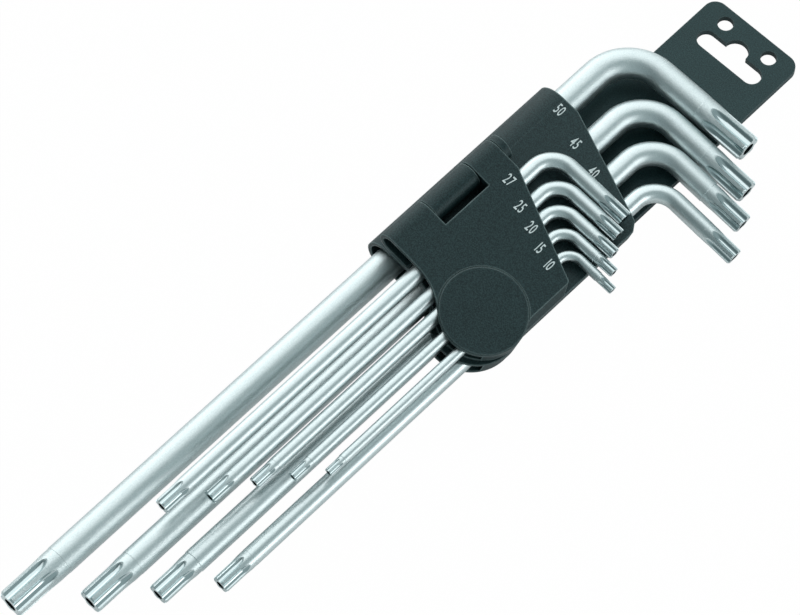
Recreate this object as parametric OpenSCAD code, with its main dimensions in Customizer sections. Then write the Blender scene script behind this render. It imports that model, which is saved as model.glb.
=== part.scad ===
// Set of nine L-shaped star keys in a two-half folding plastic holder with a hang plate.
// The set lies on the back of its hang plate: +Z is up out of the holder's front face,
// +Y runs along the long arms towards the hang plate, +X along the short arms.

/* [Key 50] */
// Stock diameter
key50_d = 9; // [8:0.1:9.4]
// Size across the lobes of the tip
key50_tip = 8.83; // [7.6:0.01:8.9]
// Long arm, from its end face to the short arm's axis
key50_long = 243.2; // [170:0.1:280]
// Short arm, from its end face to the long arm's axis
key50_short = 47.1; // [40:0.1:52]
// Gap between this short arm and the next smaller one
key50_over = 1; // [0.3:0.05:4]
// Angle of the short arm below the level of the plate
key50_droop_angle = 3; // [0:0.1:4]

/* [Key 45] */
// Stock diameter
key45_d = 8; // [7:0.1:8.4]
// Size across the lobes of the tip
key45_tip = 7.82; // [6.8:0.01:7.9]
// Long arm, from its end face to the short arm's axis
key45_long = 218.2; // [150:0.1:235]
// Short arm, from its end face to the long arm's axis
key45_short = 41.1; // [34:0.1:43]
// Gap between this short arm and the next smaller one
key45_over = 0.5; // [0.3:0.05:4]
// Angle of the short arm below the level of the plate
key45_droop_angle = 6.6; // [0:0.1:7]

/* [Key 40] */
// Stock diameter
key40_d = 7; // [6.2:0.1:7.3]
// Size across the lobes of the tip
key40_tip = 6.65; // [5.8:0.01:6.9]
// Long arm, from its end face to the short arm's axis
key40_long = 195.9; // [140:0.1:212]
// Short arm, from its end face to the long arm's axis
key40_short = 35.7; // [29:0.1:36]
// Gap between this short arm and the next smaller one
key40_over = 3; // [0.5:0.05:5]
// Angle of the short arm below the level of the plate
key40_droop_angle = 8.5; // [0:0.1:8.6]

/* [Key 30] */
// Stock diameter
key30_d = 5.6; // [5:0.1:5.8]
// Size across the lobes of the tip
key30_tip = 5.52; // [4.8:0.01:5.5]
// Long arm, from its end face to the short arm's axis
key30_long = 172.8; // [125:0.1:186]
// Short arm, from its end face to the long arm's axis
key30_short = 31.2; // [26:0.1:31.8]
// Short arm's axis above the rear half's slanted edge
key30_out = 13.1; // [12:0.1:18]
// Angle of the short arm below the level of the plate
key30_droop_angle = 9.4; // [0:0.1:9.5]

/* [Key 27] */
// Stock diameter
key27_d = 5; // [4.4:0.1:5.1]
// Size across the lobes of the tip
key27_tip = 4.99; // [4.2:0.01:4.99]
// Long arm, from its end face to the short arm's axis
key27_long = 152.8; // [110:0.1:165]
// Short arm, from its end face to the long arm's axis
key27_short = 28.3; // [22:0.1:32]
// Gap between this short arm and the next smaller one
key27_over = 0.35; // [0.2:0.05:3]
// Angle of the short arm below the level of the plate
key27_droop_angle = 8.4; // [0:0.1:9]

/* [Key 25] */
// Stock diameter
key25_d = 4.5; // [4:0.1:4.7]
// Size across the lobes of the tip
key25_tip = 4.43; // [3.8:0.01:4.45]
// Long arm, from its end face to the short arm's axis
key25_long = 136.4; // [100:0.1:148]
// Short arm, from its end face to the long arm's axis
key25_short = 23.6; // [20:0.1:28]
// Gap between this short arm and the next smaller one
key25_over = 0.75; // [0.2:0.05:3]
// Angle of the short arm below the level of the plate
key25_droop_angle = 6.5; // [0:0.1:9]

/* [Key 20] */
// Stock diameter
key20_d = 4; // [3.4:0.1:4.1]
// Size across the lobes of the tip
key20_tip = 3.86; // [3.3:0.01:3.95]
// Long arm, from its end face to the short arm's axis
key20_long = 119.8; // [90:0.1:130]
// Short arm, from its end face to the long arm's axis
key20_short = 21.4; // [17:0.1:25]
// Gap between this short arm and the next smaller one
key20_over = 0.25; // [0.2:0.05:3]
// Angle of the short arm below the level of the plate
key20_droop_angle = 4.8; // [0:0.1:9]

/* [Key 15] */
// Stock diameter
key15_d = 3.5; // [3:0.1:3.6]
// Size across the lobes of the tip
key15_tip = 3.27; // [2.8:0.01:3.45]
// Long arm, from its end face to the short arm's axis
key15_long = 107; // [80:0.1:116]
// Short arm, from its end face to the long arm's axis
key15_short = 19.3; // [15:0.1:23]
// Gap between this short arm and the next smaller one
key15_over = 0.35; // [0.2:0.05:3]
// Angle of the short arm below the level of the plate
key15_droop_angle = 5; // [0:0.1:9]

/* [Key 10] */
// Stock diameter
key10_d = 3; // [2.6:0.1:3.2]
// Size across the lobes of the tip
key10_tip = 2.74; // [2.3:0.01:2.95]
// Long arm, from its end face to the short arm's axis
key10_long = 95.4; // [72:0.1:104]
// Short arm, from its end face to the long arm's axis
key10_short = 16.8; // [13:0.1:20]
// Short arm's axis above the front half's slanted edge
key10_out = 5.2; // [5:0.1:9]
// Angle of the short arm below the level of the plate
key10_droop_angle = 7.9; // [0:0.1:9]

/* [Key rows] */
// Key 50 to key 45, axis to axis
pitch_45 = 14.5; // [14:0.1:15]
// Key 45 to key 40, axis to axis
pitch_40 = 11.3; // [10.8:0.1:11.8]
// Key 40 to key 30, axis to axis
pitch_30 = 9.7; // [9:0.1:10.4]
// Key 50 to key 27, along the front face
pitch_27 = 9.1; // [8.9:0.1:9.6]
// Key 27 to key 25, along the front face
pitch_25 = 7; // [6.4:0.1:7.3]
// Key 25 to key 20, along the front face
pitch_20 = 5.3; // [5:0.1:5.8]
// Key 20 to key 15, along the front face
pitch_15 = 5.8; // [5.2:0.1:6.2]
// Key 15 to key 10, along the front face
pitch_10 = 5.7; // [5:0.1:6.2]
// Angle that the stars of the long arms are turned about the arm
star_turn_angle = 12; // [0:1:60]

/* [Holder] */
// Outer radius of the rear half's tunnel round key 50
tunnel_r = 7.6; // [7.4:0.05:8]
// Right side wall from the axis of key 30
right_out = 5.8; // [5:0.1:8]
// Length of the rear half along its left side
rear_len = 70.3; // [68:0.1:73]
// Slant of the rear half's upper edge
rear_slant = 19.8; // [17:0.1:22]
// Start of the rear half's slanted edge, along the face
rear_slant_x = 5.3; // [3:0.1:9]
// Length of the front half along its hinge
front_len = 42; // [41:0.1:44]
// Slant of the front half's upper edge
front_slant = 21.5; // [19:0.1:24]
// Start of the front half's slanted edge, along the face
front_slant_x = 6.4; // [6:0.1:9]
// Width of the chamfer on the right upper corners
corner_w = 2; // [1:0.1:3]
// Length of the chamfer on the right upper corners
corner_l = 2.9; // [1.5:0.1:4]
// Thickness of the front face
face_wall = 1.3; // [1.2:0.05:1.3]
// Thickness of the side walls
side_wall = 1.3; // [1:0.05:2]
// How far the front half's right side leans in at its face
side_lean = 1.6; // [1:0.1:2.2]
// Thickness of the rear half's face
rear_wall = 0.75; // [0.6:0.05:0.9]
// Thickness of the tunnel wall round key 50
tunnel_wall = 1.2; // [0.9:0.05:2]
// Thickness of the rear half's floor
floor_t = 1; // [0.8:0.05:1.6]
// Thickness of the front half's back cover
cover_t = 1.05; // [0.9:0.05:1.3]
// Thickness of the cross walls that carry the keys
bearing_t = 5; // [3:0.1:7]
// Lower cross walls above the holder's lower edge
bearing_y = 6; // [5.5:0.1:9]
// Upper cross walls below the slanted edges
bearing_drop = 4; // [3:0.1:5]

/* [Lobe and cap] */
// Drop of the rear half's lobe below the front half's
lobe_drop = 1.8; // [1:0.1:2.5]
// Radius of the round cap and of the lobe under it
lobe_r = 12.9; // [12.4:0.1:13.2]
// Centre of the cap in from the right side wall
lobe_in = 11.8; // [11:0.1:13]
// Centre of the cap above the holder's lower edge
lobe_y = 4.8; // [4:0.1:6]
// Start of the curved run from the lower edge into the lobe
blend_x = 8; // [6:0.1:11]
// Depth of the cap's seat in the front face
cap_seat = 0.7; // [0.5:0.05:0.8]
// Height of the cap above the front face
cap_proud = 0.3; // [0.1:0.05:0.6]
// Chamfer on the cap's edge
cap_chamfer = 0.3; // [0.05:0.05:0.4]

/* [Hinge] */
// Gap between the hinge barrel and the tunnel under it
barrel_gap = 0.5; // [0.3:0.05:1]
// Hinge axis left of the axis of key 50, along the face
hinge_left = 1.6; // [1.2:0.1:2]
// Radius of the hinge pin
pin_r = 1.5; // [1:0.05:2]
// Lower edge of the notch for the rear half's knuckle
notch_y = 14.6; // [13:0.1:17]
// Length of the notch
notch_len = 17.4; // [14:0.1:18]
// Right edge of the notch, along the face
notch_x = 4.6; // [4:0.1:4.8]
// Thickness of the upper hinge ear
ear_t = 2.3; // [1.5:0.1:4]
// Width of the necks that carry the knuckles
neck_w = 5; // [4:0.1:6]
// Depth of the open mouth in the barrel's lower end
mouth_depth = 5; // [3:0.1:7]

/* [Hang plate] */
// Thickness of the plate
plate_t = 2.2; // [1.8:0.1:2.3]
// Right edge of the plate in from the holder's right side wall
plate_in = 3.5; // [2.5:0.1:7]
// Left edge of the plate from the axis of key 50
plate_x = 4; // [3.4:0.1:5]
// Width that the plate's lower part adds on the left, under key 50
base_out = 4; // [3:0.1:7]
// Upper edge of the plate above the holder's lower edge
plate_top = 133.4; // [128:0.1:145]
// Lower edge of the plate above the holder's lower edge
plate_low = 4; // [2:0.1:6]
// Radius of the plate's upper corners
plate_corner = 4; // [2:0.1:5]
// Diameter of the two round holes
hole_d = 4.8; // [4.5:0.1:5.2]
// Spacing of the two round holes
hole_spacing = 16.8; // [15:0.1:19]
// Web between the round holes and the plate's upper edge
hole_edge = 2.3; // [1.8:0.1:4]
// Length of the hang slot
slot_l = 23.4; // [20:0.1:26]
// Height of the hang slot
slot_h = 6; // [5:0.1:6.2]
// Web between the round holes and the hang slot
slot_web = 2.4; // [1.8:0.1:5]
// Diameter of the round rise in the middle of the hang slot
rise_d = 7.5; // [6:0.1:8]
// Rise's centre above the hang slot's axis
rise_up = 3; // [2:0.1:3.4]
// Height of the pad between plate and rear half
pad_t = 2; // [1.8:0.1:2.4]
// Width of the pad
pad_w = 29; // [26:0.1:30]
// Length of the pad
pad_l = 42; // [34:0.1:46]
// Lower edge of the pad above the holder's lower edge
pad_y = 8; // [6.5:0.1:10]
// Radius of the pegs that hold the plate
peg_r = 2; // [1.5:0.1:3]
// Spacing of the pegs
peg_spacing = 18; // [12:0.1:22]

/* [Fits] */
// Radial clearance of a key in its bores
key_clear = 0.05; // [0.03:0.01:0.1]
// Clearance under and over a key in its half
key_gap = 0.1; // [0.06:0.01:0.12]
// Radial clearance of the hinge pin in the front half
pin_clear = 0.05; // [0.03:0.01:0.1]
// Gap between the two folded halves
fold_gap = 0.3; // [0.2:0.05:0.35]
// Gap at each end of a knuckle
knuckle_gap = 0.3; // [0.2:0.05:0.5]
// Gap between a cover or cap and the wall beside it
seat_gap = 0.1; // [0.05:0.01:0.15]
// Radial clearance of the pegs in the plate
peg_clear = 0.05; // [0.03:0.01:0.1]

/* [Hidden] */
$fn = 64;

// One overrun for every cut and every half-space
reach = 200;

// Star tip, as shares of the size across its lobes
root_share = 0.715;
flute_share = 0.213;
straight_share = 1.05;
runout_share = 1.35;
zone_share = 2.1;
hole_share = 0.47;
depth_share = 0.9;
lead_share = 0.06;
// Bend radius of a key's centre line as a share of its stock diameter
bend_share = 1.5;
// Width of a small bore's open back as a share of the key's stock diameter
throat_share = 0.9;

// Heights in the set's own frame
back_z = plate_t + pad_t;
floor_z = back_z + floor_t;
function rear_z(d) = floor_z + key_gap + d / 2;
axis_z = rear_z(key50_d);

// Key places
x45 = pitch_45;
x40 = x45 + pitch_40;
x30 = x40 + pitch_30;
x27 = pitch_27;
x25 = x27 + pitch_25;
x20 = x25 + pitch_20;
x15 = x20 + pitch_15;
x10 = x15 + pitch_10;

// Rear half's face, laid over the tunnel and the large keys
function roof_tilt(x, d) = asin((tunnel_r - rear_wall - key_gap - d / 2) / norm([x, (d - key50_d) / 2]))
    - atan2((d - key50_d) / 2, x);
rear_tilt = min(roof_tilt(x45, key45_d), roof_tilt(x40, key40_d), roof_tilt(x30, key30_d));

// Front half, a wedge that closes over the small keys from the largest to the smallest
cover_low = tunnel_r + fold_gap;
cover_top = cover_low + cover_t;
wedge = 2 * atan((key27_d - key10_d) / (2 * (x10 - x27)));
face_tilt = rear_tilt + wedge;
function room(x, d) = (cover_top + key_gap / 2 + d / 2 + x * sin(wedge)) / cos(wedge) + d / 2;
front_h = face_wall + key_gap + max(room(x27, key27_d), room(x25, key25_d), room(x20, key20_d),
    room(x15, key15_d), room(x10, key10_d));
function front_z(d) = front_h - face_wall - key_gap - d / 2;

// Edges across the holder, and the height at which the front half's right side starts to lean in
right_x = x30 + right_out;
lean_z = (cover_top + right_x * sin(wedge)) / cos(wedge) + face_wall / 2;
lobe_x = right_x - lobe_in;
plate_w = right_x - plate_in - plate_x;
function rear_edge(x) = rear_len - (x - rear_slant_x) * tan(rear_slant);
function front_edge(x) = front_len - (x - front_slant_x) * tan(front_slant);

// Short arms, stacked outwards from the smallest key of each half
function half_pair(d1, tip1, d2, tip2) = (max(d1, tip1) + max(d2, tip2)) / 2;
key30_rise = rear_edge(x30) + key30_out;
key40_rise = key30_rise + half_pair(key30_d, key30_tip, key40_d, key40_tip) + key40_over;
key45_rise = key40_rise + half_pair(key40_d, key40_tip, key45_d, key45_tip) + key45_over;
key50_rise = key45_rise + half_pair(key45_d, key45_tip, key50_d, key50_tip) + key50_over;
key10_rise = front_edge(x10) + key10_out;
key15_rise = key10_rise + half_pair(key10_d, key10_tip, key15_d, key15_tip) + key15_over;
key20_rise = key15_rise + half_pair(key15_d, key15_tip, key20_d, key20_tip) + key20_over;
key25_rise = key20_rise + half_pair(key20_d, key20_tip, key25_d, key25_tip) + key25_over;
key27_rise = key25_rise + half_pair(key25_d, key25_tip, key27_d, key27_tip) + key27_over;

// Holes and slot below the plate's upper edge
hole_drop = hole_edge + hole_d / 2;
slot_drop = hole_edge + hole_d + slot_web + slot_h / 2;

// Hinge, with a barrel that fills the height from the tunnel to the front face
barrel_r = (pow(hinge_left, 2) + pow(front_h, 2) - pow(tunnel_r + barrel_gap, 2))
    / (2 * (front_h + tunnel_r + barrel_gap));
hinge_x = -hinge_left;
hinge_z = front_h - barrel_r;
cavity_x = (notch_x + x27 - key27_d / 2) / 2;
mouth_r = barrel_r - face_wall;
ear_y = front_len + knuckle_gap;
pin_y = mouth_depth + knuckle_gap;
pin_end = ear_y + ear_t;
knuckle_r = barrel_r - seat_gap;

// Curved run from the lower edge into the lobe, tangent to both
run_x = lobe_x - blend_x;
run_r = (run_x * run_x + lobe_y * lobe_y - lobe_r * lobe_r) / (2 * (lobe_r - lobe_y));

// Middle of the set, so that the origin lies under it
tip_x = x30 + key30_short * cos(key30_droop_angle) + key30_tip / 2 * sin(key30_droop_angle);
mid_x = (tip_x - tunnel_r) / 2;
mid_y = (plate_top + key50_rise - key50_long) / 2;

shell_color = [0.17, 0.21, 0.21];
steel_color = [0.78, 0.80, 0.81];

// Frames: the set, the front face and the rear face all meet at the axis of key 50

module in_set() { translate([-mid_x, -mid_y, 0]) children(); }
module in_face() { translate([0, 0, axis_z]) rotate([0, face_tilt, 0]) children(); }
module in_rear() { translate([0, 0, axis_z]) rotate([0, rear_tilt, 0]) children(); }

// Straight bar or bore along +Y
module along_y(x, z, r, from, to) {
    translate([x, from, z]) rotate([-90, 0, 0]) cylinder(r = r, h = to - from);
}

module below(z) { translate([-reach, -reach, z - reach]) cube([2 * reach, 2 * reach, reach]); }
module above(z) { translate([-reach, -reach, z]) cube([2 * reach, 2 * reach, reach]); }

// Outlines in the plane of the front face

// Lobe under the cap and its tangent run into the straight lower edge
module lobe_outline() {
    translate([lobe_x, lobe_y]) circle(r = lobe_r);
    difference() {
        polygon([[blend_x, 0], [blend_x, -run_r], [lobe_x, lobe_y]]);
        translate([blend_x, -run_r]) circle(r = run_r);
    }
}

// Half of the holder from its left edge, with a slanted upper edge
module half_outline(left, len, slant_x, slant) {
    drop = (right_x - corner_w - slant_x) * tan(slant);
    polygon([[left, 0], [blend_x, 0], [lobe_x, lobe_y], [right_x, lobe_y],
        [right_x, len - drop - corner_l], [right_x - corner_w, len - drop],
        [slant_x, len], [left, len]]);
    lobe_outline();
}

// Cross walls that carry the keys: one straight, one along the slanted edge
module bearing_bands(len, slant_x, slant) {
    translate([-reach, bearing_y]) square([2 * reach, bearing_t]);
    translate([slant_x, len - bearing_drop]) rotate(-slant)
        translate([-reach, -bearing_t]) square([2 * reach, bearing_t]);
}

// Rear half

module rear_body() {
    intersection() {
        in_face() translate([0, 0, -reach]) linear_extrude(2 * reach) {
            half_outline(-2 * tunnel_r, rear_len, rear_slant_x, rear_slant);
            translate([lobe_x, lobe_y - lobe_drop]) circle(r = lobe_r);
        }
        union() {
            along_y(0, axis_z, tunnel_r, -reach, reach);
            intersection() {
                in_face() translate([0, -reach, -reach]) cube(2 * reach);
                in_rear() below(tunnel_r);
            }
        }
        above(back_z);
    }
}

// Knuckle on its neck, rising from the rear face through the front half's notch
module knuckle(from, to) {
    in_face() {
        along_y(hinge_x, hinge_z, knuckle_r, from, to);
        translate([hinge_x - neck_w / 2, from, 0]) cube([neck_w, to - from, hinge_z]);
    }
}

module pad() {
    translate([plate_x + (plate_w - pad_w) / 2, pad_y, plate_t]) cube([pad_w, pad_l, pad_t + floor_t / 2]);
    for (side = [-1, 1])
        translate([plate_x + plate_w / 2 + side * peg_spacing / 2, pad_y + pad_l / 2, 0])
            cylinder(r = peg_r, h = plate_t + pad_t);
}

module rear_hollow() {
    intersection() {
        union() {
            along_y(0, axis_z, tunnel_r - tunnel_wall, -reach, reach);
            intersection() {
                in_face() translate([0, -reach, -reach]) cube([right_x - side_wall, 2 * reach, 2 * reach]);
                in_rear() below(tunnel_r - rear_wall);
            }
        }
        above(floor_z);
    }
}

module rear_shell() {
    color(shell_color) in_set() difference() {
        union() {
            rear_body();
            pad();
            knuckle(notch_y + knuckle_gap, notch_y + notch_len - knuckle_gap);
            knuckle(ear_y, ear_y + ear_t);
        }
        difference() {
            rear_hollow();
            in_face() translate([0, 0, -reach]) linear_extrude(2 * reach)
                bearing_bands(rear_len, rear_slant_x, rear_slant);
        }
        along_y(0, axis_z, key50_d / 2 + key_clear, -reach, reach);
        along_y(x45, rear_z(key45_d), key45_d / 2 + key_clear, -reach, reach);
        along_y(x40, rear_z(key40_d), key40_d / 2 + key_clear, -reach, reach);
        along_y(x30, rear_z(key30_d), key30_d / 2 + key_clear, -reach, reach);
        in_face() along_y(hinge_x, hinge_z, pin_r, pin_y, pin_end);
    }
}

// Front half

module front_body() {
    intersection() {
        in_face() translate([0, 0, front_h - reach]) linear_extrude(reach)
            half_outline(hinge_x, front_len, front_slant_x, front_slant);
        in_rear() above(cover_top);
    }
    // Left wall, down to the underside of the cover
    intersection() {
        in_face() translate([hinge_x, 0, front_h - reach])
            cube([cavity_x - hinge_x, front_len, reach - face_wall / 2]);
        in_rear() above(cover_low);
    }
    in_face() along_y(hinge_x, hinge_z, barrel_r, 0, front_len);
}

module front_hollow() {
    intersection() {
        in_face() translate([cavity_x, -reach, 0])
            cube([right_x - side_wall - side_lean - cavity_x, 2 * reach, front_h - face_wall]);
        in_rear() above(cover_low);
    }
}

// Open mouth at the lower end, rounded inside the barrel
module front_mouth() {
    in_face() {
        along_y(hinge_x, hinge_z, mouth_r, -reach, mouth_depth);
        translate([hinge_x, -reach, hinge_z - mouth_r])
            cube([2 * cavity_x - hinge_x - notch_x, reach + mouth_depth, 2 * mouth_r]);
    }
}

// Bore of a small key, open to the back so that the key drops in before the cover goes on
module front_bore(x, d) {
    in_face() {
        along_y(x, front_z(d), d / 2 + key_clear, -reach, reach);
        translate([x - d * throat_share / 2, -reach, front_z(d) - reach]) cube([d * throat_share, 2 * reach, reach]);
    }
}

// Cut that leans the right side in above its seam and leaves the lobe standing
module front_lean() {
    rise = front_h - lean_z;
    in_face() difference() {
        translate([0, lobe_y, 0]) rotate([-90, 0, 0]) linear_extrude(reach)
            polygon([[right_x, -lean_z], [right_x + lobe_r, -lean_z], [right_x + lobe_r, -lean_z - 2 * rise],
                [right_x - 2 * side_lean, -lean_z - 2 * rise]]);
        translate([lobe_x, lobe_y, 0]) cylinder(r = lobe_r - cap_chamfer, h = reach);
    }
}

module front_shell() {
    color(shell_color) in_set() difference() {
        front_body();
        difference() {
            front_hollow();
            in_face() linear_extrude(reach) bearing_bands(front_len, front_slant_x, front_slant);
        }
        front_mouth();
        front_bore(x27, key27_d);
        front_bore(x25, key25_d);
        front_bore(x20, key20_d);
        front_bore(x15, key15_d);
        front_bore(x10, key10_d);
        front_lean();
        in_face() along_y(hinge_x, hinge_z, pin_r + pin_clear, -reach, reach);
        in_face() translate([notch_x - reach, notch_y, 0]) cube([reach, notch_len, reach]);
        in_face() translate([lobe_x, lobe_y, front_h - cap_seat]) cylinder(r = lobe_r + seat_gap, h = reach);
    }
}

// Thin plate that closes the back of the front half
module front_cover() {
    color(shell_color) in_set() intersection() {
        in_face() linear_extrude(reach) intersection() {
            half_outline(hinge_x, front_len, front_slant_x, front_slant);
            translate([cavity_x + seat_gap, -reach]) square([reach, 2 * reach]);
        }
        in_rear() above(cover_low);
        in_rear() below(cover_top);
    }
}

// Round cap set into the front face over the lobe
module round_cap() {
    color(shell_color) in_set() in_face() translate([lobe_x, lobe_y, front_h - cap_seat]) {
        cylinder(r = lobe_r, h = cap_seat + cap_proud - cap_chamfer);
        translate([0, 0, cap_seat + cap_proud - cap_chamfer])
            cylinder(r1 = lobe_r, r2 = lobe_r - cap_chamfer, h = cap_chamfer);
    }
}

module hinge_pin() {
    color(steel_color) in_set() in_face() along_y(hinge_x, hinge_z, pin_r, pin_y, pin_end);
}

// Hang plate

module hang_slot() {
    square([slot_l - slot_h, slot_h], center = true);
    for (side = [-1, 1]) translate([side * (slot_l - slot_h) / 2, 0]) circle(d = slot_h);
    translate([-rise_d / 2, 0]) square([rise_d, rise_up]);
    translate([0, rise_up]) circle(d = rise_d);
}

module plate_outline() {
    polygon([[plate_x - base_out, plate_low], [plate_x + plate_w, plate_low],
        [plate_x + plate_w, plate_top - plate_corner], [plate_x, plate_top - plate_corner],
        [plate_x, key50_rise], [plate_x - base_out, key50_rise - base_out]]);
    translate([plate_x + plate_corner, plate_top - 2 * plate_corner])
        square([plate_w - 2 * plate_corner, 2 * plate_corner]);
    for (x = [plate_x + plate_corner, plate_x + plate_w - plate_corner])
        translate([x, plate_top - plate_corner]) circle(r = plate_corner);
}

module hang_plate() {
    mid = plate_x + plate_w / 2;
    color(shell_color) in_set() linear_extrude(plate_t) difference() {
        plate_outline();
        for (side = [-1, 1]) translate([mid + side * hole_spacing / 2, plate_top - hole_drop]) circle(d = hole_d);
        translate([mid, plate_top - slot_drop]) hang_slot();
        for (side = [-1, 1])
            translate([mid + side * peg_spacing / 2, pad_y + pad_l / 2]) circle(r = peg_r + peg_clear);
    }
}

// Keys

// Star tip along +Z from its end face, at the size of key 50: six flutes that run out in pointed arches
module star_end(turn) {
    tip = key50_tip;
    root = tip * root_share / 2;
    flute = tip * flute_share;
    straight = tip * straight_share;
    runout = tip * runout_share;
    lead = tip * lead_share;
    difference() {
        union() {
            cylinder(r1 = tip / 2 - lead, r2 = tip / 2, h = lead);
            translate([0, 0, lead]) cylinder(d = tip, h = tip * zone_share - lead);
        }
        for (step = [0 : 60 : 300]) rotate(turn + step) {
            translate([root + flute, 0, -lead]) cylinder(r = flute, h = straight + lead);
            translate([root + flute + runout, 0, straight]) rotate([90, 0, 0])
                rotate_extrude() translate([runout, 0]) circle(r = flute);
        }
        translate([0, 0, -lead]) cylinder(d = tip * hole_share, h = tip * depth_share + lead);
    }
}

// The same tip at a key's own size, with its end let into the cone that starts the stock
module star_tip(d, tip, turn) {
    lead = tip * lead_share;
    scale(tip / key50_tip) star_end(turn);
    translate([0, 0, tip * zone_share - 2 * lead]) cylinder(r1 = tip / 2 - lead, r2 = d / 2, h = lead);
}

// L key in its own plane: long arm down -Y, short arm along +X, axes crossing at the origin
module star_key(d, tip, long, short) {
    bend = d * bend_share;
    zone = tip * (zone_share - lead_share);
    translate([0, -long, 0]) rotate([-90, 0, 0]) star_tip(d, tip, star_turn_angle);
    along_y(0, 0, d / 2, zone - long, -bend);
    translate([bend, -bend, 0]) rotate(90) rotate_extrude(angle = 90) translate([bend, 0]) circle(d = d);
    translate([bend, 0, 0]) rotate([0, 90, 0]) cylinder(d = d, h = short - zone - bend);
    translate([short, 0, 0]) rotate([0, -90, 0]) star_tip(d, tip, 0);
}

module rear_key(x, d, tip, long, short, rise, droop) {
    color(steel_color) in_set() translate([x, rise, rear_z(d)]) rotate([0, droop, 0])
        star_key(d, tip, long, short);
}

module front_key(x, d, tip, long, short, rise, droop) {
    color(steel_color) in_set() in_face() translate([x, rise, front_z(d)]) rotate([0, droop - face_tilt, 0])
        star_key(d, tip, long, short);
}

module key_50() { rear_key(0, key50_d, key50_tip, key50_long, key50_short, key50_rise, key50_droop_angle); }
module key_45() { rear_key(x45, key45_d, key45_tip, key45_long, key45_short, key45_rise, key45_droop_angle); }
module key_40() { rear_key(x40, key40_d, key40_tip, key40_long, key40_short, key40_rise, key40_droop_angle); }
module key_30() { rear_key(x30, key30_d, key30_tip, key30_long, key30_short, key30_rise, key30_droop_angle); }
module key_27() { front_key(x27, key27_d, key27_tip, key27_long, key27_short, key27_rise, key27_droop_angle); }
module key_25() { front_key(x25, key25_d, key25_tip, key25_long, key25_short, key25_rise, key25_droop_angle); }
module key_20() { front_key(x20, key20_d, key20_tip, key20_long, key20_short, key20_rise, key20_droop_angle); }
module key_15() { front_key(x15, key15_d, key15_tip, key15_long, key15_short, key15_rise, key15_droop_angle); }
module key_10() { front_key(x10, key10_d, key10_tip, key10_long, key10_short, key10_rise, key10_droop_angle); }

hang_plate();
rear_shell();
hinge_pin();
front_shell();
front_cover();
round_cap();
key_50();
key_45();
key_40();
key_30();
key_27();
key_25();
key_20();
key_15();
key_10();
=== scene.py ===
import math

import bmesh
import bpy
from mathutils import Matrix, Vector


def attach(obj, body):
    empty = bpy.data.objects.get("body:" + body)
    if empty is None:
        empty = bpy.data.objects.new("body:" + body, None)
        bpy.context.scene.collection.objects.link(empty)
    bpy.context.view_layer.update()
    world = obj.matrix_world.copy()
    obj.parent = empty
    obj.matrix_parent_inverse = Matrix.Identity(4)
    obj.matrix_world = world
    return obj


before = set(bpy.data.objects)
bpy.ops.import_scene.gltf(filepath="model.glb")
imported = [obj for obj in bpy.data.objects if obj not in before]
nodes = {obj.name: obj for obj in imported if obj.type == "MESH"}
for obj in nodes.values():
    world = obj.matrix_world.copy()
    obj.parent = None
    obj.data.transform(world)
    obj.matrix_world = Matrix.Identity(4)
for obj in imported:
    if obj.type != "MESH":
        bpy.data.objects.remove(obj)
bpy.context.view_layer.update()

# Rear shell: the half of the holder that carries the four large keys and the tunnel round the largest.
# It is injection moulded in dark grey plastic with a fine eroded grain.
# Its corners and edges are painted paler, partly as wear from use and partly as a painted highlight.


def grain_group():
    group = bpy.data.node_groups.new("moulded_grain", "ShaderNodeTree")
    group.interface.new_socket("Vector", in_out="INPUT", socket_type="NodeSocketVector")
    group.interface.new_socket("Fine", in_out="INPUT", socket_type="NodeSocketFloat")
    group.interface.new_socket("Broad", in_out="INPUT", socket_type="NodeSocketFloat")
    group.interface.new_socket("Grain", in_out="OUTPUT", socket_type="NodeSocketFloat")
    group.interface.new_socket("Cloud", in_out="OUTPUT", socket_type="NodeSocketFloat")
    tree = group.nodes
    links = group.links
    inward = tree.new("NodeGroupInput")
    outward = tree.new("NodeGroupOutput")
    pits = tree.new("ShaderNodeTexNoise")
    pits.inputs["Detail"].default_value = 3.0
    pits.inputs["Roughness"].default_value = 0.6
    links.new(inward.outputs["Vector"], pits.inputs["Vector"])
    links.new(inward.outputs["Fine"], pits.inputs["Scale"])
    links.new(pits.outputs["Fac"], outward.inputs["Grain"])
    cloud = tree.new("ShaderNodeTexNoise")
    cloud.inputs["Detail"].default_value = 2.0
    links.new(inward.outputs["Vector"], cloud.inputs["Vector"])
    links.new(inward.outputs["Broad"], cloud.inputs["Scale"])
    links.new(cloud.outputs["Fac"], outward.inputs["Cloud"])
    return group


# Edge mask: convex edges get a paler colour, partly rubbed wear and partly a painted edge highlight.
def edge_group():
    group = bpy.data.node_groups.new("rub_and_edge_highlight", "ShaderNodeTree")
    group.interface.new_socket("Radius", in_out="INPUT", socket_type="NodeSocketFloat")
    group.interface.new_socket("RubAndHighlight", in_out="OUTPUT", socket_type="NodeSocketFloat")
    group.interface.new_socket("Normal", in_out="OUTPUT", socket_type="NodeSocketVector")
    tree = group.nodes
    links = group.links
    inward = tree.new("NodeGroupInput")
    outward = tree.new("NodeGroupOutput")
    rounded = tree.new("ShaderNodeBevel")
    rounded.samples = 6
    links.new(inward.outputs["Radius"], rounded.inputs["Radius"])
    flat = tree.new("ShaderNodeNewGeometry")
    turn = tree.new("ShaderNodeVectorMath")
    turn.operation = "DOT_PRODUCT"
    links.new(rounded.outputs["Normal"], turn.inputs[0])
    links.new(flat.outputs["Normal"], turn.inputs[1])
    spread = tree.new("ShaderNodeMapRange")
    spread.inputs["From Min"].default_value = 0.995
    spread.inputs["From Max"].default_value = 0.90
    links.new(turn.outputs["Value"], spread.inputs["Value"])
    links.new(spread.outputs["Result"], outward.inputs["RubAndHighlight"])
    links.new(rounded.outputs["Normal"], outward.inputs["Normal"])
    return group


grain = grain_group()
rub_highlight_group = edge_group()


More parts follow.
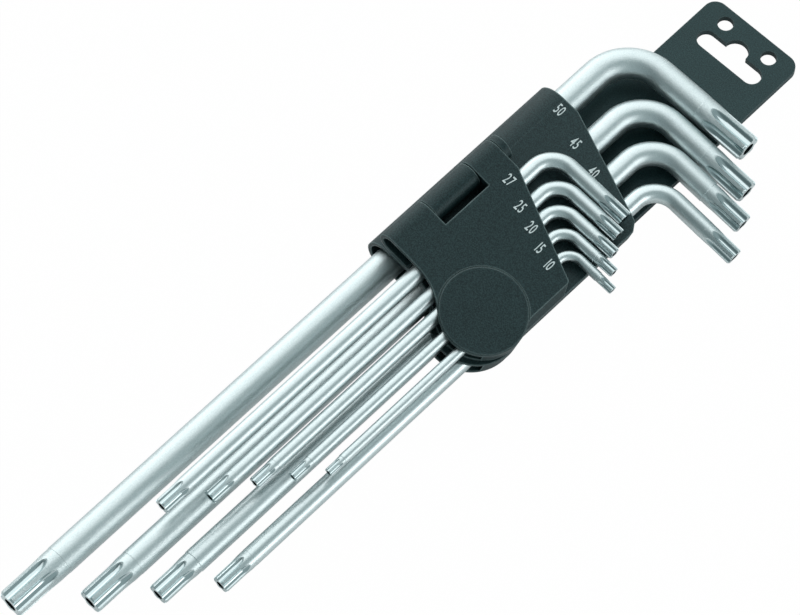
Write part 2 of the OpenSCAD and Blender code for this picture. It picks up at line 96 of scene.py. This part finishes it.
def moulded_plastic(name, dark, light, rub_and_highlight_colour, radius, gloss):
    gloss_spread = 0.06
    material = bpy.data.materials.new(name)
    material.use_nodes = True
    tree = material.node_tree.nodes
    links = material.node_tree.links
    shader = tree["Principled BSDF"]
    shader.inputs["Specular IOR Level"].default_value = 0.38
    shader.inputs["Specular Tint"].default_value = (0.80, 0.98, 1.0, 1.0)
    place = tree.new("ShaderNodeTexCoord")
    surface = tree.new("ShaderNodeGroup")
    surface.node_tree = grain
    surface.inputs["Fine"].default_value = 2700.0
    surface.inputs["Broad"].default_value = 70.0
    links.new(place.outputs["Object"], surface.inputs["Vector"])
    edge = tree.new("ShaderNodeGroup")
    edge.node_tree = rub_highlight_group
    edge.inputs["Radius"].default_value = radius
    body = tree.new("ShaderNodeMix")
    body.data_type = "RGBA"
    body.inputs["A"].default_value = dark
    body.inputs["B"].default_value = light
    speck = tree.new("ShaderNodeMapRange")
    speck.inputs["From Min"].default_value = 0.41
    speck.inputs["From Max"].default_value = 0.59
    speck.inputs["To Max"].default_value = 0.75
    links.new(surface.outputs["Grain"], speck.inputs["Value"])
    blend = tree.new("ShaderNodeMath")
    blend.operation = "MULTIPLY_ADD"
    blend.inputs[1].default_value = 0.25
    links.new(surface.outputs["Cloud"], blend.inputs[0])
    links.new(speck.outputs["Result"], blend.inputs[2])
    links.new(blend.outputs["Value"], body.inputs["Factor"])
    # Convex edges are painted paler here: partly wear, partly a painted edge highlight.
    worn_and_lit = tree.new("ShaderNodeMix")
    worn_and_lit.data_type = "RGBA"
    worn_and_lit.inputs["B"].default_value = rub_and_highlight_colour
    links.new(body.outputs["Result"], worn_and_lit.inputs["A"])
    patchy = tree.new("ShaderNodeMapRange")
    patchy.inputs["From Min"].default_value = 0.35
    patchy.inputs["From Max"].default_value = 0.65
    patchy.inputs["To Min"].default_value = 0.6
    links.new(surface.outputs["Cloud"], patchy.inputs["Value"])
    fade = tree.new("ShaderNodeMath")
    fade.operation = "MULTIPLY"
    links.new(edge.outputs["RubAndHighlight"], fade.inputs[0])
    links.new(patchy.outputs["Result"], fade.inputs[1])
    links.new(fade.outputs["Value"], worn_and_lit.inputs["Factor"])
    links.new(worn_and_lit.outputs["Result"], shader.inputs["Base Color"])
    sheen = tree.new("ShaderNodeMapRange")
    sheen.inputs["To Min"].default_value = gloss - gloss_spread
    sheen.inputs["To Max"].default_value = gloss + gloss_spread
    links.new(surface.outputs["Grain"], sheen.inputs["Value"])
    links.new(sheen.outputs["Result"], shader.inputs["Roughness"])
    bump = tree.new("ShaderNodeBump")
    bump.inputs["Strength"].default_value = 0.8
    bump.inputs["Distance"].default_value = 0.00008
    links.new(surface.outputs["Grain"], bump.inputs["Height"])
    links.new(edge.outputs["Normal"], bump.inputs["Normal"])
    links.new(bump.outputs["Normal"], shader.inputs["Normal"])
    return material


def wear(node, material):
    piece = nodes[node]
    piece.data.materials.clear()
    piece.data.materials.append(material)


shell_plastic = moulded_plastic(
    "grained_shell_plastic",
    (0.002, 0.007, 0.008, 1.0),
    (0.024, 0.049, 0.051, 1.0),
    (0.22, 0.29, 0.29, 1.0),
    0.0007,
    0.44,
)
wear("rear_shell", shell_plastic)

# Hang plate: a flat moulded plate with a hook slot and two holes, pressed onto the rear shell's pegs.
# It is the same plastic with a flatter face, a little paler overall, and its edges are painted paler as
# wear and a painted highlight.
plate_plastic = moulded_plastic(
    "flat_plate_plastic",
    (0.005, 0.017, 0.018, 1.0),
    (0.023, 0.056, 0.058, 1.0),
    (0.13, 0.17, 0.17, 1.0),
    0.0004,
    0.44,
)
wear("hang_plate", plate_plastic)

# Hinge pin: a length of drawn steel wire that joins the two halves through their knuckles.
# It is pressed into the rear shell, and its faint drawing lines run along it.
pin_steel = bpy.data.materials.new("drawn_pin_steel")
pin_steel.use_nodes = True
pin_tree = pin_steel.node_tree.nodes
pin_links = pin_steel.node_tree.links
pin_shader = pin_tree["Principled BSDF"]
pin_shader.inputs["Metallic"].default_value = 1.0
pin_place = pin_tree.new("ShaderNodeTexCoord")
pin_stretch = pin_tree.new("ShaderNodeMapping")
pin_stretch.inputs["Scale"].default_value = (1.0, 0.02, 1.0)
pin_links.new(pin_place.outputs["Object"], pin_stretch.inputs["Vector"])
pin_lines = pin_tree.new("ShaderNodeTexNoise")
pin_lines.inputs["Scale"].default_value = 6000.0
pin_links.new(pin_stretch.outputs["Vector"], pin_lines.inputs["Vector"])
pin_tone = pin_tree.new("ShaderNodeMix")
pin_tone.data_type = "RGBA"
pin_tone.inputs["A"].default_value = (0.46, 0.48, 0.48, 1.0)
pin_tone.inputs["B"].default_value = (0.66, 0.68, 0.68, 1.0)
pin_links.new(pin_lines.outputs["Fac"], pin_tone.inputs["Factor"])
pin_links.new(pin_tone.outputs["Result"], pin_shader.inputs["Base Color"])
pin_rough = pin_tree.new("ShaderNodeMapRange")
pin_rough.inputs["To Min"].default_value = 0.22
pin_rough.inputs["To Max"].default_value = 0.42
pin_links.new(pin_lines.outputs["Fac"], pin_rough.inputs["Value"])
pin_links.new(pin_rough.outputs["Result"], pin_shader.inputs["Roughness"])
wear("hinge_pin", pin_steel)

# Front shell: the folding half that carries the five small keys, with the hinge barrel on its left.
# It is moulded in the same grained plastic as the rear shell, with the same painted edge highlight.
wear("front_shell", shell_plastic)

# Front cover: the thin back plate of the front half, snapped in after the keys.
# It comes from the same plastic, painted a shade darker all over as painted shade for its place in the
# recess, with its edges painted paler as wear and a painted highlight.
cover_plastic = moulded_plastic(
    "cover_plastic",
    (0.003, 0.008, 0.009, 1.0),
    (0.023, 0.047, 0.049, 1.0),
    (0.22, 0.28, 0.28, 1.0),
    0.0006,
    0.46,
)
wear("front_cover", cover_plastic)

# Round cap: a plain disc pressed into its seat in the front face, over the smallest keys' bores.
# Its small chamfer shows as a pale ring, painted as edge wear and a painted highlight.
cap_plastic = moulded_plastic(
    "cap_plastic",
    (0.002, 0.007, 0.008, 1.0),
    (0.024, 0.049, 0.051, 1.0),
    (0.17, 0.22, 0.22, 1.0),
    0.0007,
    0.44,
)
wear("round_cap", cap_plastic)

# Keys: nine bars of chrome vanadium steel, bent to an L and milled to a six-lobed star at both ends.
# They are bead blasted and chromed to a satin grey, the two largest with the coarser grain.
# The flutes are smoother than the bars and mirror more sharply, and their grooves are painted a darker
# tone as painted shade.


def flute_group():
    group = bpy.data.node_groups.new("cut_flutes", "ShaderNodeTree")
    group.interface.new_socket("Vector", in_out="INPUT", socket_type="NodeSocketVector")
    group.interface.new_socket("End", in_out="INPUT", socket_type="NodeSocketVector")
    group.interface.new_socket("Inward", in_out="INPUT", socket_type="NodeSocketVector")
    group.interface.new_socket("Length", in_out="INPUT", socket_type="NodeSocketFloat")
    group.interface.new_socket("Radius", in_out="INPUT", socket_type="NodeSocketFloat")
    group.interface.new_socket("Cut", in_out="OUTPUT", socket_type="NodeSocketFloat")
    tree = group.nodes
    links = group.links
    inward = tree.new("NodeGroupInput")
    outward = tree.new("NodeGroupOutput")
    offset = tree.new("ShaderNodeVectorMath")
    offset.operation = "SUBTRACT"
    links.new(inward.outputs["Vector"], offset.inputs[0])
    links.new(inward.outputs["End"], offset.inputs[1])
    along = tree.new("ShaderNodeVectorMath")
    along.operation = "DOT_PRODUCT"
    links.new(offset.outputs["Vector"], along.inputs[0])
    links.new(inward.outputs["Inward"], along.inputs[1])
    foot = tree.new("ShaderNodeVectorMath")
    foot.operation = "SCALE"
    links.new(inward.outputs["Inward"], foot.inputs[0])
    links.new(along.outputs["Value"], foot.inputs["Scale"])
    across = tree.new("ShaderNodeVectorMath")
    across.operation = "DISTANCE"
    links.new(offset.outputs["Vector"], across.inputs[0])
    links.new(foot.outputs["Vector"], across.inputs[1])
    near = tree.new("ShaderNodeMath")
    near.operation = "LESS_THAN"
    links.new(along.outputs["Value"], near.inputs[0])
    links.new(inward.outputs["Length"], near.inputs[1])
    share = tree.new("ShaderNodeMath")
    share.operation = "DIVIDE"
    links.new(across.outputs["Value"], share.inputs[0])
    links.new(inward.outputs["Radius"], share.inputs[1])
    deep = tree.new("ShaderNodeMapRange")
    deep.inputs["From Min"].default_value = 1.03
    deep.inputs["From Max"].default_value = 0.97
    links.new(share.outputs["Value"], deep.inputs["Value"])
    both = tree.new("ShaderNodeMath")
    both.operation = "MULTIPLY"
    links.new(near.outputs["Value"], both.inputs[0])
    links.new(deep.outputs["Result"], both.inputs[1])
    links.new(both.outputs["Value"], outward.inputs["Cut"])
    return group


flutes = flute_group()


def satin_chrome(name, ends, tip, matt, pitted):
    flute_length = tip * 2.3
    lobe_radius = tip * 0.475
    patchiness = 0.09
    flute_polish = 0.92
    material = bpy.data.materials.new(name)
    material.use_nodes = True
    tree = material.node_tree.nodes
    links = material.node_tree.links
    shader = tree["Principled BSDF"]
    shader.inputs["Metallic"].default_value = 1.0
    place = tree.new("ShaderNodeTexCoord")
    surface = tree.new("ShaderNodeGroup")
    surface.node_tree = grain
    surface.inputs["Fine"].default_value = 2900.0
    surface.inputs["Broad"].default_value = 60.0
    links.new(place.outputs["Object"], surface.inputs["Vector"])
    cuts = []
    for end, inward in ends:
        cut = tree.new("ShaderNodeGroup")
        cut.node_tree = flutes
        cut.inputs["End"].default_value = end
        cut.inputs["Inward"].default_value = inward
        cut.inputs["Length"].default_value = flute_length
        cut.inputs["Radius"].default_value = lobe_radius
        links.new(place.outputs["Object"], cut.inputs["Vector"])
        cuts.append(cut)
    flute_polish_and_shade = tree.new("ShaderNodeMath")
    flute_polish_and_shade.operation = "MAXIMUM"
    links.new(cuts[0].outputs["Cut"], flute_polish_and_shade.inputs[0])
    links.new(cuts[1].outputs["Cut"], flute_polish_and_shade.inputs[1])
    satin = tree.new("ShaderNodeMix")
    satin.data_type = "RGBA"
    satin.inputs["A"].default_value = (0.58, 0.655, 0.665, 1.0)
    satin.inputs["B"].default_value = (0.79, 0.85, 0.85, 1.0)
    fleck = tree.new("ShaderNodeMapRange")
    fleck.inputs["From Min"].default_value = 0.20
    fleck.inputs["From Max"].default_value = 0.76
    links.new(surface.outputs["Grain"], fleck.inputs["Value"])
    links.new(fleck.outputs["Result"], satin.inputs["Factor"])
    # Flute grooves are painted darker than the bars: painted shade.
    flute_shade_tone = tree.new("ShaderNodeMix")
    flute_shade_tone.data_type = "RGBA"
    flute_shade_tone.inputs["B"].default_value = (0.60, 0.68, 0.69, 1.0)
    links.new(flute_polish_and_shade.outputs["Value"], flute_shade_tone.inputs["Factor"])
    links.new(satin.outputs["Result"], flute_shade_tone.inputs["A"])
    links.new(flute_shade_tone.outputs["Result"], shader.inputs["Base Color"])
    blasted = tree.new("ShaderNodeMapRange")
    blasted.inputs["To Min"].default_value = matt
    blasted.inputs["To Max"].default_value = matt + patchiness
    links.new(surface.outputs["Cloud"], blasted.inputs["Value"])
    rough = tree.new("ShaderNodeMix")
    rough.inputs["B"].default_value = 0.13
    links.new(flute_polish_and_shade.outputs["Value"], rough.inputs["Factor"])
    links.new(blasted.outputs["Result"], rough.inputs["A"])
    links.new(rough.outputs["Result"], shader.inputs["Roughness"])
    depth = tree.new("ShaderNodeMath")
    depth.operation = "MULTIPLY_ADD"
    depth.inputs[1].default_value = -flute_polish * pitted
    depth.inputs[2].default_value = pitted
    links.new(flute_polish_and_shade.outputs["Value"], depth.inputs[0])
    bump = tree.new("ShaderNodeBump")
    bump.inputs["Distance"].default_value = 0.00007
    links.new(depth.outputs["Value"], bump.inputs["Strength"])
    links.new(surface.outputs["Grain"], bump.inputs["Height"])
    links.new(bump.outputs["Normal"], shader.inputs["Normal"])
    return material


def bar_ends(corner, long_arm, short_arm, droop):
    lean = math.radians(droop)
    arm = Vector((math.cos(lean), 0.0, -math.sin(lean)))
    return [
        (corner - Vector((0.0, long_arm, 0.0)), Vector((0.0, 1.0, 0.0))),
        (corner + arm * short_arm, -arm),
    ]


set_middle = Vector((0.029566, -0.005236, 0.0))
axis_height = 0.0098
large_seat = 0.0053
# Each row: across, stock, star, long arm, short arm, rise and droop in degrees.
# The large keys' rows end with their own roughness and pitting.
large_keys = {
    "key_50": (0.0, 0.009, 0.00883, 0.2432, 0.0471, 0.09933, 3.0, 0.36, 1.0),
    "key_45": (0.0145, 0.008, 0.00782, 0.2182, 0.0411, 0.08983, 6.6, 0.34, 1.0),
    "key_40": (0.0258, 0.007, 0.00665, 0.1959, 0.0357, 0.08183, 8.5, 0.36, 0.06),
    "key_30": (0.0355, 0.0056, 0.00552, 0.1728, 0.0312, 0.07253, 9.4, 0.30, 0.06),
}
for key, (across, stock, tip, long_arm, short_arm, rise, droop, matt, pitted) in large_keys.items():
    corner = Vector((across, rise, large_seat + stock / 2)) - set_middle
    key_ends = bar_ends(corner, long_arm, short_arm, droop)
    wear(key, satin_chrome(key + "_chrome", key_ends, tip, matt, pitted))

face_tilt = math.radians(13.935)
face_place = (
    Matrix.Translation(Vector((0.0, 0.0, axis_height)) - set_middle)
    @ Matrix.Rotation(face_tilt, 4, "Y")
)
small_roof = 0.014895
small_matt = 0.34
small_pitted = 0.06
small_keys = {
    "key_27": (0.0091, 0.005, 0.00499, 0.1528, 0.0283, 0.05446, 8.4),
    "key_25": (0.0161, 0.0045, 0.00443, 0.1364, 0.0236, 0.04936, 6.5),
    "key_20": (0.0214, 0.004, 0.00386, 0.1198, 0.0214, 0.04436, 4.8),
    "key_15": (0.0272, 0.0035, 0.00327, 0.107, 0.0193, 0.04036, 5.0),
    "key_10": (0.0329, 0.003, 0.00274, 0.0954, 0.0168, 0.03676, 7.9),
}
for key, (across, stock, tip, long_arm, short_arm, rise, droop) in small_keys.items():
    corner = face_place @ Vector((across, rise, small_roof - stock / 2))
    key_ends = bar_ends(corner, long_arm, short_arm, droop)
    wear(key, satin_chrome(key + "_chrome", key_ends, tip, small_matt, small_pitted))

# Size marks: plain numbers pad printed in pale ink on both faces, one beside the mouth of each bore.
# The ink stands a few hundredths of a millimetre above the grain and is slightly broken by it.
ink = bpy.data.materials.new("pale_ink")
ink.use_nodes = True
ink_tree = ink.node_tree.nodes
ink_links = ink.node_tree.links
ink_shader = ink_tree["Principled BSDF"]
ink_place = ink_tree.new("ShaderNodeTexCoord")
ink_surface = ink_tree.new("ShaderNodeGroup")
ink_surface.node_tree = grain
ink_surface.inputs["Fine"].default_value = 5200.0
ink_surface.inputs["Broad"].default_value = 700.0
ink_links.new(ink_place.outputs["Object"], ink_surface.inputs["Vector"])
ink_tone = ink_tree.new("ShaderNodeMix")
ink_tone.data_type = "RGBA"
ink_tone.inputs["A"].default_value = (0.58, 0.66, 0.66, 1.0)
ink_tone.inputs["B"].default_value = (0.86, 0.93, 0.93, 1.0)
ink_links.new(ink_surface.outputs["Cloud"], ink_tone.inputs["Factor"])
ink_links.new(ink_tone.outputs["Result"], ink_shader.inputs["Base Color"])
ink_rough = ink_tree.new("ShaderNodeMapRange")
ink_rough.inputs["To Min"].default_value = 0.45
ink_rough.inputs["To Max"].default_value = 0.65
ink_links.new(ink_surface.outputs["Grain"], ink_rough.inputs["Value"])
ink_links.new(ink_rough.outputs["Result"], ink_shader.inputs["Roughness"])

rear_tilt = math.radians(9.123)
rear_place = (
    Matrix.Translation(Vector((0.0, 0.0, axis_height)) - set_middle)
    @ Matrix.Rotation(rear_tilt, 4, "Y")
)


def size_mark(number, place, x, y, height, body):
    mark_height = 0.0035
    narrow = 0.51
    letter_gap = 0.00034
    ink_depth = 0.00004
    shape = bmesh.new()
    reach = 0.0
    for digit in number:
        letter = bpy.data.curves.new("letter_" + digit, "FONT")
        letter.body = digit
        letter.extrude = 0.01
        letter.offset = 0.006
        letter.resolution_u = 6
        stamp = bpy.data.objects.new("stamp_" + digit, letter)
        bpy.context.scene.collection.objects.link(stamp)
        bpy.context.view_layer.update()
        seen = stamp.evaluated_get(bpy.context.evaluated_depsgraph_get())
        digit_mesh = bpy.data.meshes.new_from_object(seen)
        bpy.data.objects.remove(stamp)
        older = len(shape.verts)
        shape.from_mesh(digit_mesh)
        bpy.data.meshes.remove(digit_mesh)
        shape.verts.ensure_lookup_table()
        fresh = shape.verts[older:]
        low = Vector([min(v.co[i] for v in fresh) for i in range(3)])
        high = Vector([max(v.co[i] for v in fresh) for i in range(3)])
        grow = mark_height / (high.y - low.y)
        start = Vector((-low.x, -(low.y + high.y) / 2, -(low.z + high.z) / 2))
        bmesh.ops.translate(shape, verts=fresh, vec=start)
        bmesh.ops.scale(shape, verts=fresh, vec=(grow * narrow, grow, ink_depth / (high.z - low.z)))
        bmesh.ops.translate(shape, verts=fresh, vec=(reach, 0.0, 0.0))
        reach += (high.x - low.x) * grow * narrow + letter_gap
    bmesh.ops.remove_doubles(shape, verts=shape.verts[:], dist=1e-7)
    bmesh.ops.recalc_face_normals(shape, faces=shape.faces[:])
    middle = Matrix.Translation((x - (reach - letter_gap) / 2, y, height + ink_depth / 2))
    bmesh.ops.transform(shape, verts=shape.verts[:], matrix=place @ middle)
    mesh = bpy.data.meshes.new("size_mark_" + number)
    shape.to_mesh(mesh)
    shape.free()
    mesh.materials.append(ink)
    mark = bpy.data.objects.new("size_mark_" + number, mesh)
    bpy.context.scene.collection.objects.link(mark)
    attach(mark, body)


rear_height = 0.0076
rear_marks = {
    "50": (0.0020, 0.0668),
    "45": (0.0121, 0.0627),
    "40": (0.0218, 0.0600),
    "30": (0.0310, 0.0555),
}
for number, (x, y) in rear_marks.items():
    size_mark(number, rear_place, x, y, rear_height, "rear_half")
front_height = 0.016295
front_marks = {
    "27": (0.0074, 0.0374),
    "25": (0.01495, 0.0342),
    "20": (0.02135, 0.0322),
    "15": (0.02725, 0.0297),
    "10": (0.03245, 0.0282),
}
for number, (x, y) in front_marks.items():
    size_mark(number, face_place, x, y, front_height, "front_half")

# Floor: a plain pale sheet under the set, white to the camera and a shade darker in the chrome.
# It stands for a studio table and isn't part of the object.
floor_reach = 6.0
floor_drop = 0.0006
chrome_share = 0.2
camera_share = 0.79
sheet_shape = bmesh.new()
bmesh.ops.create_grid(sheet_shape, x_segments=1, y_segments=1, size=floor_reach)
bmesh.ops.translate(sheet_shape, verts=sheet_shape.verts[:], vec=(0.0, 0.0, -floor_drop))
sheet_mesh = bpy.data.meshes.new("studio_floor")
sheet_shape.to_mesh(sheet_mesh)
sheet_shape.free()
studio_floor = bpy.data.objects.new("studio_floor", sheet_mesh)
bpy.context.scene.collection.objects.link(studio_floor)
floor_white = bpy.data.materials.new("floor_white")
floor_white.use_nodes = True
floor_tree = floor_white.node_tree.nodes
floor_links = floor_white.node_tree.links
floor_matt = floor_tree["Principled BSDF"]
floor_matt.inputs["Base Color"].default_value = (0.86, 0.87, 0.87, 1.0)
floor_matt.inputs["Roughness"].default_value = 0.9
floor_glow = floor_tree.new("ShaderNodeEmission")
floor_glow.inputs["Strength"].default_value = 1.0
floor_path = floor_tree.new("ShaderNodeLightPath")
floor_seen = floor_tree.new("ShaderNodeMath")
floor_seen.operation = "MAXIMUM"
floor_links.new(floor_path.outputs["Is Camera Ray"], floor_seen.inputs[0])
floor_links.new(floor_path.outputs["Is Glossy Ray"], floor_seen.inputs[1])
floor_any = floor_tree.new("ShaderNodeMath")
floor_any.operation = "MAXIMUM"
floor_links.new(floor_seen.outputs["Value"], floor_any.inputs[0])
floor_links.new(floor_path.outputs["Is Transmission Ray"], floor_any.inputs[1])
floor_share = floor_tree.new("ShaderNodeMath")
floor_share.operation = "MULTIPLY_ADD"
floor_share.inputs[1].default_value = camera_share
floor_links.new(floor_path.outputs["Is Camera Ray"], floor_share.inputs[0])
floor_part = floor_tree.new("ShaderNodeMath")
floor_part.operation = "MULTIPLY"
floor_part.inputs[1].default_value = chrome_share
floor_links.new(floor_any.outputs["Value"], floor_part.inputs[0])
floor_links.new(floor_part.outputs["Value"], floor_share.inputs[2])
floor_mix = floor_tree.new("ShaderNodeMixShader")
floor_links.new(floor_share.outputs["Value"], floor_mix.inputs["Fac"])
floor_links.new(floor_matt.outputs["BSDF"], floor_mix.inputs[1])
floor_links.new(floor_glow.outputs["Emission"], floor_mix.inputs[2])
floor_links.new(floor_mix.outputs["Shader"], floor_tree["Material Output"].inputs["Surface"])
sheet_mesh.materials.append(floor_white)

# Light: one wide soft panel from the upper left of the picture, a low one on each side, and a grey room.
# The room is darker than the panels, so the chrome bars get their darker band.
studio_world = bpy.data.worlds.new("grey_room")
studio_world.use_nodes = True
room_tree = studio_world.node_tree.nodes
room_links = studio_world.node_tree.links
room_way = room_tree.new("ShaderNodeTexCoord")
room_turn = room_tree.new("ShaderNodeVectorMath")
room_turn.operation = "DOT_PRODUCT"
room_turn.inputs[1].default_value = (-0.25, -0.61, 0.75)
room_links.new(room_way.outputs["Generated"], room_turn.inputs[0])
room_dark = room_tree.new("ShaderNodeMapRange")
room_dark.inputs["From Min"].default_value = 0.72
room_dark.inputs["From Max"].default_value = 0.93
room_links.new(room_turn.outputs["Value"], room_dark.inputs["Value"])
room_tone = room_tree.new("ShaderNodeMix")
room_tone.data_type = "RGBA"
room_tone.inputs["A"].default_value = (0.33, 0.41, 0.42, 1.0)
room_tone.inputs["B"].default_value = (0.13, 0.175, 0.18, 1.0)
room_links.new(room_dark.outputs["Result"], room_tone.inputs["Factor"])
room = room_tree["Background"]
room_links.new(room_tone.outputs["Result"], room.inputs["Color"])
bpy.context.scene.world = studio_world


def soft_panel(name, place, width, power):
    lamp = bpy.data.lights.new(name, "AREA")
    lamp.shape = "SQUARE"
    lamp.size = width
    lamp.energy = power
    panel = bpy.data.objects.new(name, lamp)
    panel.location = place
    panel.rotation_euler = (-Vector(place)).to_track_quat("-Z", "Y").to_euler()
    bpy.context.scene.collection.objects.link(panel)


soft_panel("main_panel", (-0.80, 0.52, 0.82), 2.4, 16.8)
soft_panel("side_panel", (1.10, 0.36, 0.26), 0.8, 3.6)
soft_panel("left_panel", (-1.10, 0.40, 0.28), 1.0, 1.4)

# Camera: the photograph's own view, found from the bars, the plate and the faces together.
# It looks down on the set from its lower right with a long lens.
lens = bpy.data.cameras.new("photo_view")
lens.sensor_fit = "HORIZONTAL"
lens.sensor_width = 36.0
lens.lens = 159.39
lens.clip_start = 0.01
lens.clip_end = 20.0
photo_view = bpy.data.objects.new("photo_view", lens)
photo_view.matrix_world = Matrix(
    (
        (0.71537, -0.62314, 0.31615, 0.29433),
        (0.69875, 0.63741, -0.32475, -0.32235),
        (0.00085, 0.45322, 0.89140, 0.88870),
        (0.0, 0.0, 0.0, 1.0),
    )
)
bpy.context.scene.collection.objects.link(photo_view)
bpy.context.scene.camera = photo_view
bpy.context.scene.view_settings.view_transform = "Standard"
